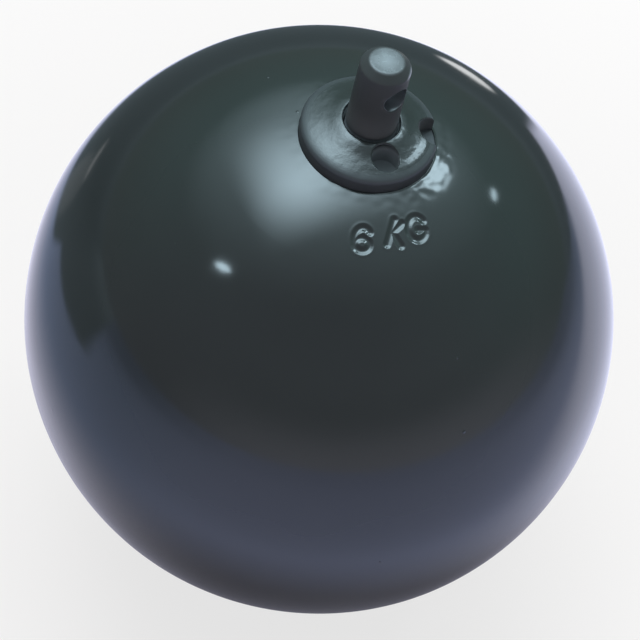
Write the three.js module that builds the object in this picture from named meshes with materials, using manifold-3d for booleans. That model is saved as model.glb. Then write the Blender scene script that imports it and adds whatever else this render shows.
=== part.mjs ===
// The head of a throwing hammer with its ball bearing swivel, in millimetres, +Z up.
// The spindle stands on the Z axis. The origin is the middle of the wire eye in the spindle.
// Heights inside the file are measured from the centre of the ball.
import * as THREE from "three";
import { mergeVertices } from "three/addons/utils/BufferGeometryUtils.js";
import Module from "manifold-3d";

const wasm = await Module();
wasm.setup();

// Cast head
const headDiameter = 116;
const seatStep = 0.3; // depth of the spot face below the edge of the ball round it
const seatWallGap = 0.1; // round the flange, in the spot face
const boreRunout = 0.8; // full bore below the end of the plug
const boreStep = 0.9; // from the threaded bore in to the drilled one
const boreSideRoom = 0.4; // round the widest piece in the drilled bore
const boreEndRoom = 2; // under the end of the spindle
const drillPointAngle = 118; // degrees

// Swivel plug
const flangeLedge = 1.2; // the flange stands out this far past the body
const flangeRimHeight = 3.65;
const flangeEdgeRadius = 1.5;
const faceAngle = 16.5; // degrees, of the conical face that climbs from the rim to the lip
const lipHeight = 0.3;
const lipWidth = 1.3;
const mouthGap = 0.5; // round the spindle, inside the lip
const threadGap = 0.2;
const plugLength = 22; // below the flange
const threadChamfer = 0.8;
const reliefWidth = 1.6;
const reliefDepth = 0.9;
const raceRecess = 1; // the upper race sits this deep in the end of the plug

// Spanner hole in the face and notch in the rim
const spannerHoleDiameter = 5.1;
const spannerHoleWeb = 0.65; // metal between the hole and the mouth of the plug
const spannerHoleDepth = 2.8;
const spannerHoleFloor = 0.8; // metal left under the drill point
const spannerHoleAngle = -60; // degrees
const notchDiameter = 5.2;
const notchBite = 0.7; // from the rim in to the middle of the notch
const notchAngle = 13; // degrees

// Spindle
const spindleDiameter = 9;
const spindleTaper = 0.3; // lost in diameter from the face of the plug to the end
const spindleReach = 20; // above the seat of the flange
const endRoundingWidth = 1.9;
const endRoundingHeight = 1.4;
const eyeDiameter = 4.8;
const eyeDrop = 5.75; // from the end of the spindle to the middle of the eye
const eyeFlare = 0.5;
const eyeAngle = -39; // degrees
const shankStep = 0.5; // from the spindle in to the shank
const shankTail = 1; // past the nut
const shankChamfer = 0.8;

// Bush and dust seal
const bushWall = 2;
const bushEndGap = 0.3;
const bushChamfer = 0.4;
const greaseGrooveWidth = 3;
const greaseGrooveDepth = 0.5;
const sealHeight = 3;
const sealSkin = 0.9;
const sealRimShare = 0.4; // of the wall of the bush, which the seal shares
const sealLipShare = 0.25;
const runningGap = 0.06;
const pressGap = 0.05;

// Thrust bearing
const ballDiameter = 3.175;
const raceShoulder = 0.8; // beside the balls, on each side of the groove
const raceThickness = 2.1;
const raceBoreGap = 0.2; // round the spindle, in the upper race
const raceChamfer = 0.3;
const grooveDepthShare = 0.125; // of the ball's diameter
const grooveLoose = 0.1; // how much the groove's radius exceeds the ball's
const ballPlay = 0.03;
const cageWeb = 0.9; // least metal between two pockets
const cageSideGap = 0.3; // from the cage to each race
const cagePocketGap = 0.12;
const cageBoreGap = 0.25;
const cageRimGap = 0.15;

// Nut, washer and split pin
const washerWidth = 4.5;
const washerThickness = 1.5;
const shankGap = 0.05;
const nutAcrossFlats = 13;
const nutHeight = 9.5;
const nutChamfer = 0.6;
const nutSides = 6;
const slotSideGap = 0.35;
const slotHeadroom = 1.2;
const pinDiameter = 1.8;
const pinHoleGap = 0.2;
const pinAngle = 30; // degrees
const pinStandOff = 0.3;
const pinLegLength = 2.6;
const pinEyeDiameter = 2;

// Cutters run this far past what they cut
const overrun = 2;

// Facets
const headSides = 60;
const headSteps = 28;
const plugSides = 48;
const shaftSides = 40;
const ringSides = 32;
const pocketSides = 20;
const ballSides = 12;
const ballRings = 8;
const wireSides = 6;
const filletSteps = 4;
const grooveSteps = 6;

// Radii that follow from the sizes, from the spindle out
const headRadius = headDiameter / 2;
const spindleRadius = spindleDiameter / 2;
const shankRadius = spindleRadius - shankStep;
const mouthRadius = spindleRadius + mouthGap;
const guideRadius = spindleRadius + runningGap;
const bushRadius = spindleRadius + bushWall;
const pocketRadius = bushRadius + pressGap;
const ballRadius = ballDiameter / 2;
const upperRaceBore = spindleRadius + raceBoreGap;
const lowerRaceBore = shankRadius + shankGap;
const pitchRadius = upperRaceBore + raceShoulder + ballRadius;
const raceRadius = pitchRadius + ballRadius + raceShoulder;
const recessRadius = raceRadius + pressGap;
const washerRadius = shankRadius + washerWidth;
const nutFlatRadius = nutAcrossFlats / 2;
const nutCornerRadius = nutFlatRadius / Math.cos(Math.PI / nutSides);
const pinRadius = pinDiameter / 2;
const pinWireRadius = pinRadius / 2;
const pinEyeRadius = pinEyeDiameter / 2;
const pinEyeReach = nutFlatRadius + pinStandOff + pinWireRadius + pinEyeRadius;
const packRadius = Math.max(raceRadius, washerRadius, pinEyeReach + pinEyeRadius + pinWireRadius);
const drilledRadius = packRadius + boreSideRoom;
const boreRadius = drilledRadius + boreStep;
const bodyRadius = boreRadius - threadGap;
const flangeRadius = bodyRadius + flangeLedge;
const edgeReach = flangeRadius - flangeEdgeRadius;
const faceSlope = THREE.MathUtils.degToRad(faceAngle);
const faceFootRadius = edgeReach + flangeEdgeRadius * Math.sin(faceSlope);
const lipFootRadius = mouthRadius + lipWidth;
const spannerHoleRadius = spannerHoleDiameter / 2;
const spannerHoleReach = mouthRadius + spannerHoleWeb + spannerHoleRadius;
const notchRadius = notchDiameter / 2;
const notchReach = flangeRadius - notchBite;

// Heights that follow from the sizes, from the outside in
const seatZ = Math.sqrt(headRadius ** 2 - flangeRadius ** 2) - seatStep;
const spindleTopZ = seatZ + spindleReach;
const eyeZ = spindleTopZ - eyeDrop;
const rimTopZ = seatZ + flangeRimHeight;
const faceFootZ = rimTopZ - flangeEdgeRadius * (1 - Math.cos(faceSlope));
const lipFootZ = faceFootZ + (faceFootRadius - lipFootRadius) * Math.tan(faceSlope);
const spannerHoleEndZ = rimTopZ - spannerHoleDepth;
const sealTopZ = spannerHoleEndZ - drillPoint(spannerHoleRadius) - spannerHoleFloor;
const sealEndZ = sealTopZ - sealHeight;
const plugEndZ = seatZ - plugLength;
const raceTopZ = plugEndZ + raceRecess;
const raceFaceZ = raceTopZ - raceThickness;
const grooveDepth = ballDiameter * grooveDepthShare;
const ballZ = raceFaceZ + grooveDepth - ballPlay - ballRadius;
const lowerFaceZ = ballZ - ballRadius - ballPlay + grooveDepth;
const lowerRaceEndZ = lowerFaceZ - raceThickness;
const washerEndZ = lowerRaceEndZ - washerThickness;
const nutEndZ = washerEndZ - nutHeight;
const slotDepth = pinDiameter + slotHeadroom;
const pinZ = nutEndZ + slotDepth / 2;
const spindleEndZ = nutEndZ - shankTail;
const boreEndZ = Math.min(spindleEndZ, pinZ - pinLegLength) - boreEndRoom;

// How many balls fit round the pitch circle, and where they stand
const ballPitch = ballDiameter + 2 * cagePocketGap + cageWeb;
const ballCount = Math.floor((2 * Math.PI * pitchRadius) / ballPitch);
const ballAngles = Array.from({ length: ballCount }, (_, ball) => (2 * Math.PI * ball) / ballCount);

// Depth of the cone that a drill leaves under a hole.
function drillPoint(radius) {
  return radius / Math.tan(THREE.MathUtils.degToRad(drillPointAngle / 2));
}

// Points of a round or oval arc in the plane of an outline, angles in degrees from the radius axis.
function arc(centreRadius, centreZ, reach, rise, from, to, steps) {
  return Array.from({ length: steps + 1 }, (_, step) => {
    const angle = THREE.MathUtils.degToRad(from + ((to - from) * step) / steps);
    return [centreRadius + reach * Math.cos(angle), centreZ + rise * Math.sin(angle)];
  });
}

// A solid turned about Z from an outline of [radius, height] points that runs up its outside.
function turned(outline, sides) {
  const points = outline.map(([radius, height]) => new THREE.Vector2(radius, height));
  return new THREE.LatheGeometry(points, sides).rotateX(Math.PI / 2);
}

// A ring turned about Z, whose outline closes on itself.
function turnedRing(outline, sides) {
  return turned([...outline, outline[0]], sides);
}

// A rod of one radius along Z, between two heights.
function rod(radius, lowZ, highZ, sides) {
  return new THREE.CylinderGeometry(radius, radius, highZ - lowZ, sides)
    .rotateX(Math.PI / 2)
    .translate(0, 0, (lowZ + highZ) / 2);
}

// A closed geometry as a solid that can be joined and cut.
function solidOf(geometry) {
  const bare = geometry.clone();
  bare.deleteAttribute("normal");
  bare.deleteAttribute("uv");
  const merged = mergeVertices(bare);
  return new wasm.Manifold(
    new wasm.Mesh({
      numProp: 3,
      vertProperties: new Float32Array(merged.attributes.position.array),
      triVerts: new Uint32Array(merged.index.array),
    }),
  );
}

// A solid as a geometry for a mesh.
function geometryOf(solid) {
  const mesh = solid.getMesh();
  const geometry = new THREE.BufferGeometry();
  geometry.setAttribute("position", new THREE.BufferAttribute(mesh.vertProperties, mesh.numProp));
  geometry.setIndex(new THREE.BufferAttribute(mesh.triVerts, 1));
  geometry.computeVertexNormals();
  return geometry;
}

function cut(geometry, ...cutters) {
  return geometryOf(cutters.reduce((solid, cutter) => solid.subtract(solidOf(cutter)), solidOf(geometry)));
}

// The ball, with the spot face under the flange and the stepped bore, which ends in a drill point.
function headBall() {
  const seatRadius = flangeRadius + seatWallGap;
  const rimAngle = THREE.MathUtils.radToDeg(Math.acos(seatRadius / headRadius));
  const stepZ = plugEndZ - boreRunout;
  return turned(
    [
      ...arc(0, 0, headRadius, headRadius, -90, rimAngle, headSteps),
      [seatRadius, seatZ],
      [boreRadius, seatZ],
      [boreRadius, stepZ],
      [drilledRadius, stepZ],
      [drilledRadius, boreEndZ],
      [0, boreEndZ - drillPoint(drilledRadius)],
    ],
    headSides,
  );
}

// The plug: flange with a rounded edge and a raised lip, thread relief, body, and pockets for the
// upper race, the bush and the seal.
function swivelPlug() {
  const reliefRadius = bodyRadius - reliefDepth;
  const edgeZ = rimTopZ - flangeEdgeRadius;
  const lipMiddle = mouthRadius + lipWidth / 2;
  const body = turnedRing(
    [
      [recessRadius, plugEndZ],
      [bodyRadius - threadChamfer, plugEndZ],
      [bodyRadius, plugEndZ + threadChamfer],
      [bodyRadius, seatZ - reliefWidth - reliefDepth],
      [reliefRadius, seatZ - reliefWidth],
      [reliefRadius, seatZ],
      [flangeRadius, seatZ],
      ...arc(edgeReach, edgeZ, flangeEdgeRadius, flangeEdgeRadius, 0, 90 - faceAngle, filletSteps),
      ...arc(lipMiddle, lipFootZ, lipWidth / 2, lipHeight, 0, 180, grooveSteps),
      [mouthRadius, sealTopZ],
      [pocketRadius, sealTopZ],
      [pocketRadius, raceTopZ],
      [recessRadius, raceTopZ],
    ],
    plugSides,
  );
  const spannerHole = turned(
    [
      [0, spannerHoleEndZ - drillPoint(spannerHoleRadius)],
      [spannerHoleRadius, spannerHoleEndZ],
      [spannerHoleRadius, lipFootZ + overrun],
      [0, lipFootZ + overrun],
    ],
    pocketSides,
  ).translate(spannerHoleReach, 0, 0);
  const notchEndZ = seatZ - reliefWidth / 2;
  const notch = rod(notchRadius, notchEndZ, lipFootZ + overrun, pocketSides)
    .translate(notchReach, 0, 0);
  return cut(
    body,
    spannerHole.rotateZ(THREE.MathUtils.degToRad(spannerHoleAngle)),
    notch.rotateZ(THREE.MathUtils.degToRad(notchAngle)),
  );
}

// The spindle: a slightly tapered pin with a rounded end, the bell mouthed wire eye across it,
// and a thinner shank for the lower race, the washer and the nut.
function spindle() {
  const flatRadius = spindleRadius - spindleTaper / 2 - endRoundingWidth;
  const shoulderZ = spindleTopZ - endRoundingHeight;
  const body = turned(
    [
      [0, spindleEndZ],
      [shankRadius - shankChamfer, spindleEndZ],
      [shankRadius, spindleEndZ + shankChamfer],
      [shankRadius, lowerFaceZ],
      [spindleRadius, lowerFaceZ],
      [spindleRadius, rimTopZ],
      ...arc(flatRadius, shoulderZ, endRoundingWidth, endRoundingHeight, 0, 90, filletSteps),
      [0, spindleTopZ],
    ],
    shaftSides,
  );
  const eyeRadius = eyeDiameter / 2;
  const straight = spindleRadius - eyeFlare;
  const mouthEnd = spindleRadius + overrun;
  const eye = turned(
    [
      [0, -mouthEnd],
      [eyeRadius + eyeFlare, -mouthEnd],
      ...arc(eyeRadius + eyeFlare, -straight, eyeFlare, eyeFlare, 270, 180, filletSteps),
      ...arc(eyeRadius + eyeFlare, straight, eyeFlare, eyeFlare, 180, 90, filletSteps),
      [eyeRadius + eyeFlare, mouthEnd],
      [0, mouthEnd],
    ],
    pocketSides,
  );
  const pinHole = rod(pinRadius + pinHoleGap, -mouthEnd, mouthEnd, pocketSides);
  return cut(
    body,
    acrossAxis(eye, eyeAngle, eyeZ),
    acrossAxis(pinHole, pinAngle, pinZ),
  );
}

// Lay a cutter that stands on Z across the axis, along one direction and at one height.
function acrossAxis(geometry, angle, height) {
  return geometry
    .rotateY(Math.PI / 2)
    .rotateZ(THREE.MathUtils.degToRad(angle))
    .translate(0, 0, height);
}

// Bronze bush with chamfered ends and a grease groove in the middle of its bore.
function spindleBush() {
  const topZ = sealEndZ - bushEndGap;
  const endZ = raceTopZ + bushEndGap;
  const middleZ = (topZ + endZ) / 2;
  const grooveRadius = guideRadius + greaseGrooveDepth;
  const grooveHalf = greaseGrooveWidth / 2;
  return turnedRing(
    [
      [guideRadius, endZ],
      [bushRadius - bushChamfer, endZ],
      [bushRadius, endZ + bushChamfer],
      [bushRadius, topZ - bushChamfer],
      [bushRadius - bushChamfer, topZ],
      [guideRadius, topZ],
      [guideRadius, middleZ + grooveHalf],
      [grooveRadius, middleZ + grooveHalf - greaseGrooveDepth],
      [grooveRadius, middleZ - grooveHalf + greaseGrooveDepth],
      [guideRadius, middleZ - grooveHalf],
    ],
    ringSides,
  );
}

// Rubber seal with a U section: an outer rim, a skin across the top and a lip on the spindle.
function dustSeal() {
  const rimInner = bushRadius - bushWall * sealRimShare;
  const lipOuter = guideRadius + bushWall * sealLipShare;
  const skinZ = sealTopZ - sealSkin;
  return turnedRing(
    [
      [rimInner, sealEndZ],
      [bushRadius, sealEndZ],
      [bushRadius, sealTopZ],
      [lipOuter, sealTopZ],
      [guideRadius, skinZ],
      [guideRadius, sealEndZ + sealSkin],
      [lipOuter, sealEndZ + sealSkin],
      [lipOuter, skinZ],
      [rimInner, skinZ],
    ],
    ringSides,
  );
}

// A race of the thrust bearing. The groove is in the face at faceZ, and side is 1 where the race
// lies above that face and -1 where it lies below.
function race(boreWall, faceZ, side) {
  const grooveRadius = ballRadius + grooveLoose;
  const centreOut = grooveRadius - grooveDepth;
  const half = THREE.MathUtils.radToDeg(Math.acos(centreOut / grooveRadius));
  const backZ = faceZ + side * raceThickness;
  const outline = [
    [boreWall, backZ],
    [boreWall, faceZ],
    ...arc(
      pitchRadius,
      faceZ - side * centreOut,
      grooveRadius,
      side * grooveRadius,
      90 + half,
      90 - half,
      grooveSteps,
    ),
    [raceRadius - raceChamfer, faceZ],
    [raceRadius, faceZ + side * raceChamfer],
    [raceRadius, backZ - side * raceChamfer],
    [raceRadius - raceChamfer, backZ],
  ];
  return turnedRing(side > 0 ? outline : outline.reverse(), ringSides);
}

// Flat cage with a round pocket for each ball.
function ballCage() {
  const inner = spindleRadius + cageBoreGap;
  const outer = raceRadius - cageRimGap;
  const half = (raceFaceZ - lowerFaceZ) / 2 - cageSideGap;
  const plate = turnedRing(
    [
      [inner, ballZ - half],
      [outer, ballZ - half],
      [outer, ballZ + half],
      [inner, ballZ + half],
    ],
    ringSides,
  );
  const pockets = ballAngles.map((angle) =>
    rod(ballRadius + cagePocketGap, ballZ - half - overrun, ballZ + half + overrun, pocketSides)
      .translate(pitchRadius, 0, 0)
      .rotateZ(angle),
  );
  return cut(plate, ...pockets);
}

function thrustWasher() {
  return turnedRing(
    [
      [lowerRaceBore, washerEndZ],
      [washerRadius, washerEndZ],
      [washerRadius, lowerRaceEndZ],
      [lowerRaceBore, lowerRaceEndZ],
    ],
    ringSides,
  );
}

// Hexagon nut with both ends chamfered and a slot through each pair of flats at its lower end.
function castleNut() {
  const firstFlat = THREE.MathUtils.degToRad(pinAngle);
  const outline = new THREE.Shape(
    Array.from({ length: nutSides }, (_, corner) => {
      const angle = firstFlat + ((2 * corner + 1) * Math.PI) / nutSides;
      return new THREE.Vector2(nutCornerRadius, 0).rotateAround(new THREE.Vector2(), angle);
    }),
  );
  outline.holes.push(new THREE.Path().absarc(0, 0, lowerRaceBore, 0, 2 * Math.PI, true));
  const hexagon = new THREE.ExtrudeGeometry(outline, {
    depth: nutHeight,
    bevelEnabled: false,
    curveSegments: shaftSides / 2,
  }).translate(0, 0, nutEndZ);
  const envelope = turned(
    [
      [0, nutEndZ],
      [nutFlatRadius, nutEndZ],
      [nutCornerRadius, nutEndZ + nutChamfer],
      [nutCornerRadius, washerEndZ - nutChamfer],
      [nutFlatRadius, washerEndZ],
      [0, washerEndZ],
    ],
    shaftSides,
  );
  const slotLength = 2 * (nutCornerRadius + overrun);
  const slotWidth = pinDiameter + 2 * slotSideGap;
  const slotHeight = slotDepth + overrun;
  const slots = Array.from({ length: nutSides / 2 }, (_, slot) =>
    new THREE.BoxGeometry(slotLength, slotWidth, slotHeight)
      .translate(0, 0, nutEndZ + slotDepth - slotHeight / 2)
      .rotateZ(firstFlat + (2 * slot * Math.PI) / nutSides),
  );
  const blank = solidOf(hexagon).intersect(solidOf(envelope));
  return cut(geometryOf(blank), ...slots);
}

// Split pin with its eye on one side of the nut and two spread legs on the other.
function splitPin() {
  const bendX = nutFlatRadius + pinStandOff + pinWireRadius;
  const shank = rod(pinRadius, pinEyeRadius - pinEyeReach, bendX - pinWireRadius, wireSides)
    .rotateY(Math.PI / 2);
  const eye = new THREE.TorusGeometry(pinEyeRadius, pinWireRadius, wireSides, pocketSides)
    .rotateX(Math.PI / 2)
    .translate(-pinEyeReach, 0, 0);
  const section = new THREE.Shape().absarc(0, 0, pinWireRadius, 0, 2 * Math.PI);
  const legs = [1, -1].map((side) => {
    const path = new THREE.QuadraticBezierCurve3(
      new THREE.Vector3(nutFlatRadius - pinWireRadius, 0, (side * pinWireRadius) / 2),
      new THREE.Vector3(bendX, 0, (side * pinWireRadius) / 2),
      new THREE.Vector3(bendX, 0, side * pinLegLength),
    );
    return new THREE.ExtrudeGeometry(section, {
      extrudePath: path,
      steps: grooveSteps,
      curveSegments: wireSides,
    });
  });
  const joined = [eye, ...legs].reduce((solid, piece) => solid.add(solidOf(piece)), solidOf(shank));
  return geometryOf(joined).rotateZ(THREE.MathUtils.degToRad(pinAngle)).translate(0, 0, pinZ);
}

// Finishes
const finish = (color, roughness, metalness) =>
  new THREE.MeshStandardMaterial({ color, roughness, metalness });
const blackPaint = finish(0x1c2223, 0.12, 0);
const darkSteel = finish(0x3a3a3e, 0.4, 1);
const brightSteel = finish(0xb8bcc0, 0.2, 1);
const bearingSteel = finish(0xd6d8da, 0.08, 1);
const bronze = finish(0xa8773c, 0.35, 1);
const brass = finish(0xc0a050, 0.3, 1);
const rubber = finish(0x161616, 0.8, 0);

// Assembly
function piece(name, geometry, material) {
  const mesh = new THREE.Mesh(geometry, material);
  mesh.name = name;
  return mesh;
}

const fixedPieces = new THREE.Group().add(
  piece("head_ball", headBall(), blackPaint),
  piece("swivel_plug", swivelPlug(), blackPaint),
  piece("dust_seal", dustSeal(), rubber),
  piece("spindle_bush", spindleBush(), bronze),
  piece("housing_race", race(upperRaceBore, raceFaceZ, 1), bearingSteel),
);

const turningPieces = new THREE.Group().add(
  piece("spindle", spindle(), darkSteel),
  piece("shaft_race", race(lowerRaceBore, lowerFaceZ, -1), bearingSteel),
  piece("thrust_washer", thrustWasher(), brightSteel),
  piece("castle_nut", castleNut(), brightSteel),
  piece("split_pin", splitPin(), brightSteel),
);

const rollingPieces = new THREE.Group().add(piece("ball_cage", ballCage(), brass));
ballAngles.forEach((angle, index) => {
  const name = `bearing_ball_${String(index + 1).padStart(2, "0")}`;
  const sphere = new THREE.SphereGeometry(ballRadius, ballSides, ballRings);
  const ball = piece(name, sphere, bearingSteel);
  ball.position.set(pitchRadius * Math.cos(angle), pitchRadius * Math.sin(angle), ballZ);
  ball.rotation.z = angle;
  rollingPieces.add(ball);
});

const hammerHead = new THREE.Group().add(fixedPieces, turningPieces, rollingPieces);
hammerHead.position.z = -eyeZ;

export default hammerHead;
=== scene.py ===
"""Looks of a throwing hammer head: a gloss painted iron ball with a ball bearing swivel.

Lengths are in millimetres unless a name says otherwise. Heights are measured from the centre of
the ball, with the spindle on the Z axis, and are moved to the frame as each mesh is made.
"""

import logging
import math
from dataclasses import dataclass
from enum import Enum
from itertools import pairwise
from typing import Callable, Mapping, Sequence

import bmesh
import bpy
import numpy as np
from mathutils import Matrix, Vector, noise


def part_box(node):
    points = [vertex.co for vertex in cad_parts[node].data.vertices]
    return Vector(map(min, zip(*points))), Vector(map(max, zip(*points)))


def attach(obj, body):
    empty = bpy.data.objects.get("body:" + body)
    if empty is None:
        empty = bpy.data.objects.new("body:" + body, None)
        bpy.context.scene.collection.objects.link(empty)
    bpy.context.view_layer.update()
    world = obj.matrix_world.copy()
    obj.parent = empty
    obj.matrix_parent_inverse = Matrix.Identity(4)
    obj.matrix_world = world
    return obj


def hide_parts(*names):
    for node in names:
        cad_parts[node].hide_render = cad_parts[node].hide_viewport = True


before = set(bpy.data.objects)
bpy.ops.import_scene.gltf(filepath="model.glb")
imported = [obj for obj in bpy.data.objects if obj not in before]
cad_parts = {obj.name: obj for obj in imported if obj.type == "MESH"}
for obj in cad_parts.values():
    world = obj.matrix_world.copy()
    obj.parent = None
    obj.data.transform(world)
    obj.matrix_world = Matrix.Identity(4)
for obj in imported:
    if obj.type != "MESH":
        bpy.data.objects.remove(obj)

log = logging.getLogger("hammer_head")

MM = 0.001
MERGE_DISTANCE = 0.0005 * MM
DRILL_POINT = math.radians(118)
SMOOTH_ANGLE = math.radians(35)
SEAT_HEIGHT = 56.445
SKIN_DEPTH = 0.02
CUTTER_ROOM = 2.0
ROUND_STEPS = 8
WALL_ROOM = 0.06
WHITE = (1.0, 1.0, 1.0)

Point = tuple[float, float]
Outline = list[Point]
Colour = tuple[float, float, float]
Piece = bpy.types.Object


class Step(Enum):
    """How fine a turned piece is, as steps in a full turn."""

    BALL = 256
    PLUG = 192
    SPINDLE = 128
    HOLE = 48


def arc(centre: Point, reach: float, rise: float, start: float, end: float, steps: int) -> Outline:
    """Points of a round or oval arc, from one angle to another in degrees from the radius axis."""
    angles = np.radians(np.linspace(start, end, steps + 1))
    return [(centre[0] + reach * math.cos(a), centre[1] + rise * math.sin(a)) for a in angles]


def line(start: Point, end: Point, steps: int) -> Outline:
    """Points of a straight stretch of an outline, both ends included."""
    return [(float(r), float(z)) for r, z in np.linspace(start, end, steps + 1)]


def drill_point(radius: float) -> float:
    """Depth of the cone that a drill leaves under a hole of this radius."""
    return radius / math.tan(DRILL_POINT / 2)


def smooth_step(value: np.ndarray, low: float, high: float) -> np.ndarray:
    """Rise smoothly from 0 where value is low to 1 where it is high."""
    share = np.clip((value - low) / (high - low), 0.0, 1.0)
    return share * share * (3 - 2 * share)


@dataclass(frozen=True)
class Datum:
    """Where the ball stands in the frame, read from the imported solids.

    Attributes:
        ball_radius: Radius of the ball.
        centre: Height of the ball's centre in the frame, in metres.
    """

    ball_radius: float
    centre: float

    @classmethod
    def from_frame(cls) -> "Datum":
        """Measure the ball of the frame.

        Returns:
            The datum.
        """
        low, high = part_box("head_ball")
        radius = (high.x - low.x) / 2
        return cls(ball_radius=radius / MM, centre=low.z + radius)

    def height(self, metres: float) -> float:
        """Height over the ball's centre of a height in the frame."""
        return (metres - self.centre) / MM

    def low(self, node: str) -> float:
        """Height of the lowest point of a CAD node."""
        return self.height(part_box(node)[0].z)

    def high(self, node: str) -> float:
        """Height of the highest point of a CAD node."""
        return self.height(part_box(node)[1].z)

    def place(self, radius: float, height: float, angle: float = 0.0) -> Vector:
        """Point of the frame, in metres.

        Args:
            radius: Distance from the axis.
            height: Height over the centre of the ball.
            angle: Angle about the axis, in degrees.

        Returns:
            The point.
        """
        turn = math.radians(angle)
        flat = radius * MM
        return Vector((flat * math.cos(turn), flat * math.sin(turn), self.centre + height * MM))


DATUM = Datum.from_frame()


def clear_selection() -> None:
    """Leave edit mode and deselect every object."""
    if bpy.context.object and bpy.context.object.mode != "OBJECT":
        bpy.ops.object.mode_set(mode="OBJECT")
    bpy.ops.object.select_all(action="DESELECT")


def pick(piece: Piece) -> None:
    """Make one object the only selected and the active one.

    Args:
        piece: The object.
    """
    clear_selection()
    piece.select_set(True)
    bpy.context.view_layer.objects.active = piece


def settle(piece: Piece, name: str) -> Piece:
    """Name a piece, put its place in its mesh and leave its object at the origin.

    Args:
        piece: A new object.
        name: Its name, also of its mesh.

    Returns:
        The same piece.
    """
    pick(piece)
    piece.name = name
    piece.data.name = name
    bpy.ops.object.transform_apply(location=True, rotation=True, scale=True)
    return piece


def turned(name: str, outline: Outline, steps: Step) -> Piece:
    """Turn an outline about the spindle's axis.

    One corner is extruded from point to point of the outline, and the wire is spun once round.
    An outline whose ends meet off the axis gives a ring.

    Args:
        name: Name of the piece.
        outline: Radius and height of each point.
        steps: Steps in the full turn.

    Returns:
        The closed mesh, with its normals outwards.
    """
    clear_selection()
    points = [DATUM.place(*point) for point in outline]
    bpy.ops.mesh.primitive_plane_add(size=MM, location=points[0])
    bpy.ops.object.mode_set(mode="EDIT")
    bpy.ops.mesh.select_mode(type="VERT")
    bpy.ops.mesh.select_all(action="SELECT")
    bpy.ops.mesh.merge(type="CENTER")
    for before, after in pairwise(points):
        bpy.ops.mesh.extrude_vertices_move(TRANSFORM_OT_translate={"value": after - before})
    bpy.ops.mesh.select_all(action="SELECT")
    bpy.ops.mesh.spin(steps=steps.value, angle=math.tau, center=(0, 0, 0), axis=(0, 0, 1))
    bpy.ops.mesh.select_all(action="SELECT")
    bpy.ops.mesh.remove_doubles(threshold=MERGE_DISTANCE)
    bpy.ops.mesh.normals_make_consistent(inside=False)
    bpy.ops.object.mode_set(mode="OBJECT")
    return settle(bpy.context.object, name)


def shift(piece: Piece, offset: Vector, quarter: float = 0.0, turn: float = 0.0) -> Piece:
    """Tip a whole mesh about Y, turn it about Z and move it.

    Args:
        piece: The piece, whose object stays at the origin.
        offset: The move in metres, after both turns.
        quarter: Tip about the Y axis, in degrees.
        turn: Turn about the Z axis, in degrees.

    Returns:
        The same piece.
    """
    tip = Matrix.Rotation(math.radians(quarter), 4, "Y")
    spin = Matrix.Rotation(math.radians(turn), 4, "Z")
    piece.data.transform(Matrix.Translation(offset) @ spin @ tip)
    return piece


def apply_modifiers(piece: Piece) -> None:
    """Apply every modifier of a piece, in order.

    Args:
        piece: The piece.
    """
    pick(piece)
    for modifier in list(piece.modifiers):
        bpy.ops.object.modifier_apply(modifier=modifier.name)


def cut(piece: Piece, *cutters: Piece) -> None:
    """Cut solids out of a piece and remove them.

    Args:
        piece: What is cut.
        cutters: Closed meshes that take material away.
    """
    for cutter in cutters:
        modifier = piece.modifiers.new(f"cut_{cutter.name}", "BOOLEAN")
        modifier.operation = "DIFFERENCE"
        modifier.solver = "EXACT"
        modifier.object = cutter
    apply_modifiers(piece)
    for cutter in cutters:
        bpy.data.meshes.remove(cutter.data)


def smooth(piece: Piece) -> None:
    """Shade a piece smoothly, apart from its sharp edges."""
    pick(piece)
    bpy.ops.object.shade_smooth_by_angle(angle=SMOOTH_ANGLE)


def select_faces(piece: Piece, wanted: Callable[[Vector], bool]) -> None:
    """Go into edit mode with only some faces selected.

    Args:
        piece: The piece to edit.
        wanted: Says of the centre of a face, in metres, whether that face is selected.
    """
    pick(piece)
    bpy.ops.object.mode_set(mode="EDIT")
    bpy.ops.mesh.select_mode(type="FACE")
    bpy.ops.mesh.select_all(action="DESELECT")
    shell = bmesh.from_edit_mesh(piece.data)
    for face in shell.faces:
        face.select_set(wanted(face.calc_center_median()))
    bmesh.update_edit_mesh(piece.data)


def stand(thing: Piece, place: Vector, right: Vector, back: Vector) -> None:
    """Stand a camera or lamp in the scene, so that it looks straight away from its back.

    Args:
        thing: The camera or lamp.
        place: Where it stands.
        right: Direction of its right side.
        back: Direction of its back.
    """
    basis = Matrix((right, back.cross(right), back)).transposed().to_4x4()
    thing.matrix_world = Matrix.Translation(place) @ basis
    bpy.context.scene.collection.objects.link(thing)


class Term:
    """A node socket that takes part in Python arithmetic."""

    def __init__(self, bench: "Bench", socket: bpy.types.NodeSocket) -> None:
        """Wrap an output socket of a node on a bench."""
        self.bench = bench
        self.socket = socket

    def __add__(self, other: "Value") -> "Term":
        """Sum."""
        return self.bench.math("ADD", self, other)

    def __sub__(self, other: "Value") -> "Term":
        """Difference."""
        return self.bench.math("SUBTRACT", self, other)

    def __rsub__(self, other: "Value") -> "Term":
        """Difference from a number."""
        return self.bench.math("SUBTRACT", other, self)

    def __mul__(self, other: "Value") -> "Term":
        """Product."""
        return self.bench.math("MULTIPLY", self, other)

    def __truediv__(self, other: "Value") -> "Term":
        """Quotient."""
        return self.bench.math("DIVIDE", self, other)

    def __abs__(self) -> "Term":
        """Size without the sign."""
        return self.bench.math("ABSOLUTE", self)

    __radd__ = __add__


Value = Term | float | Sequence[float]


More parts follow.
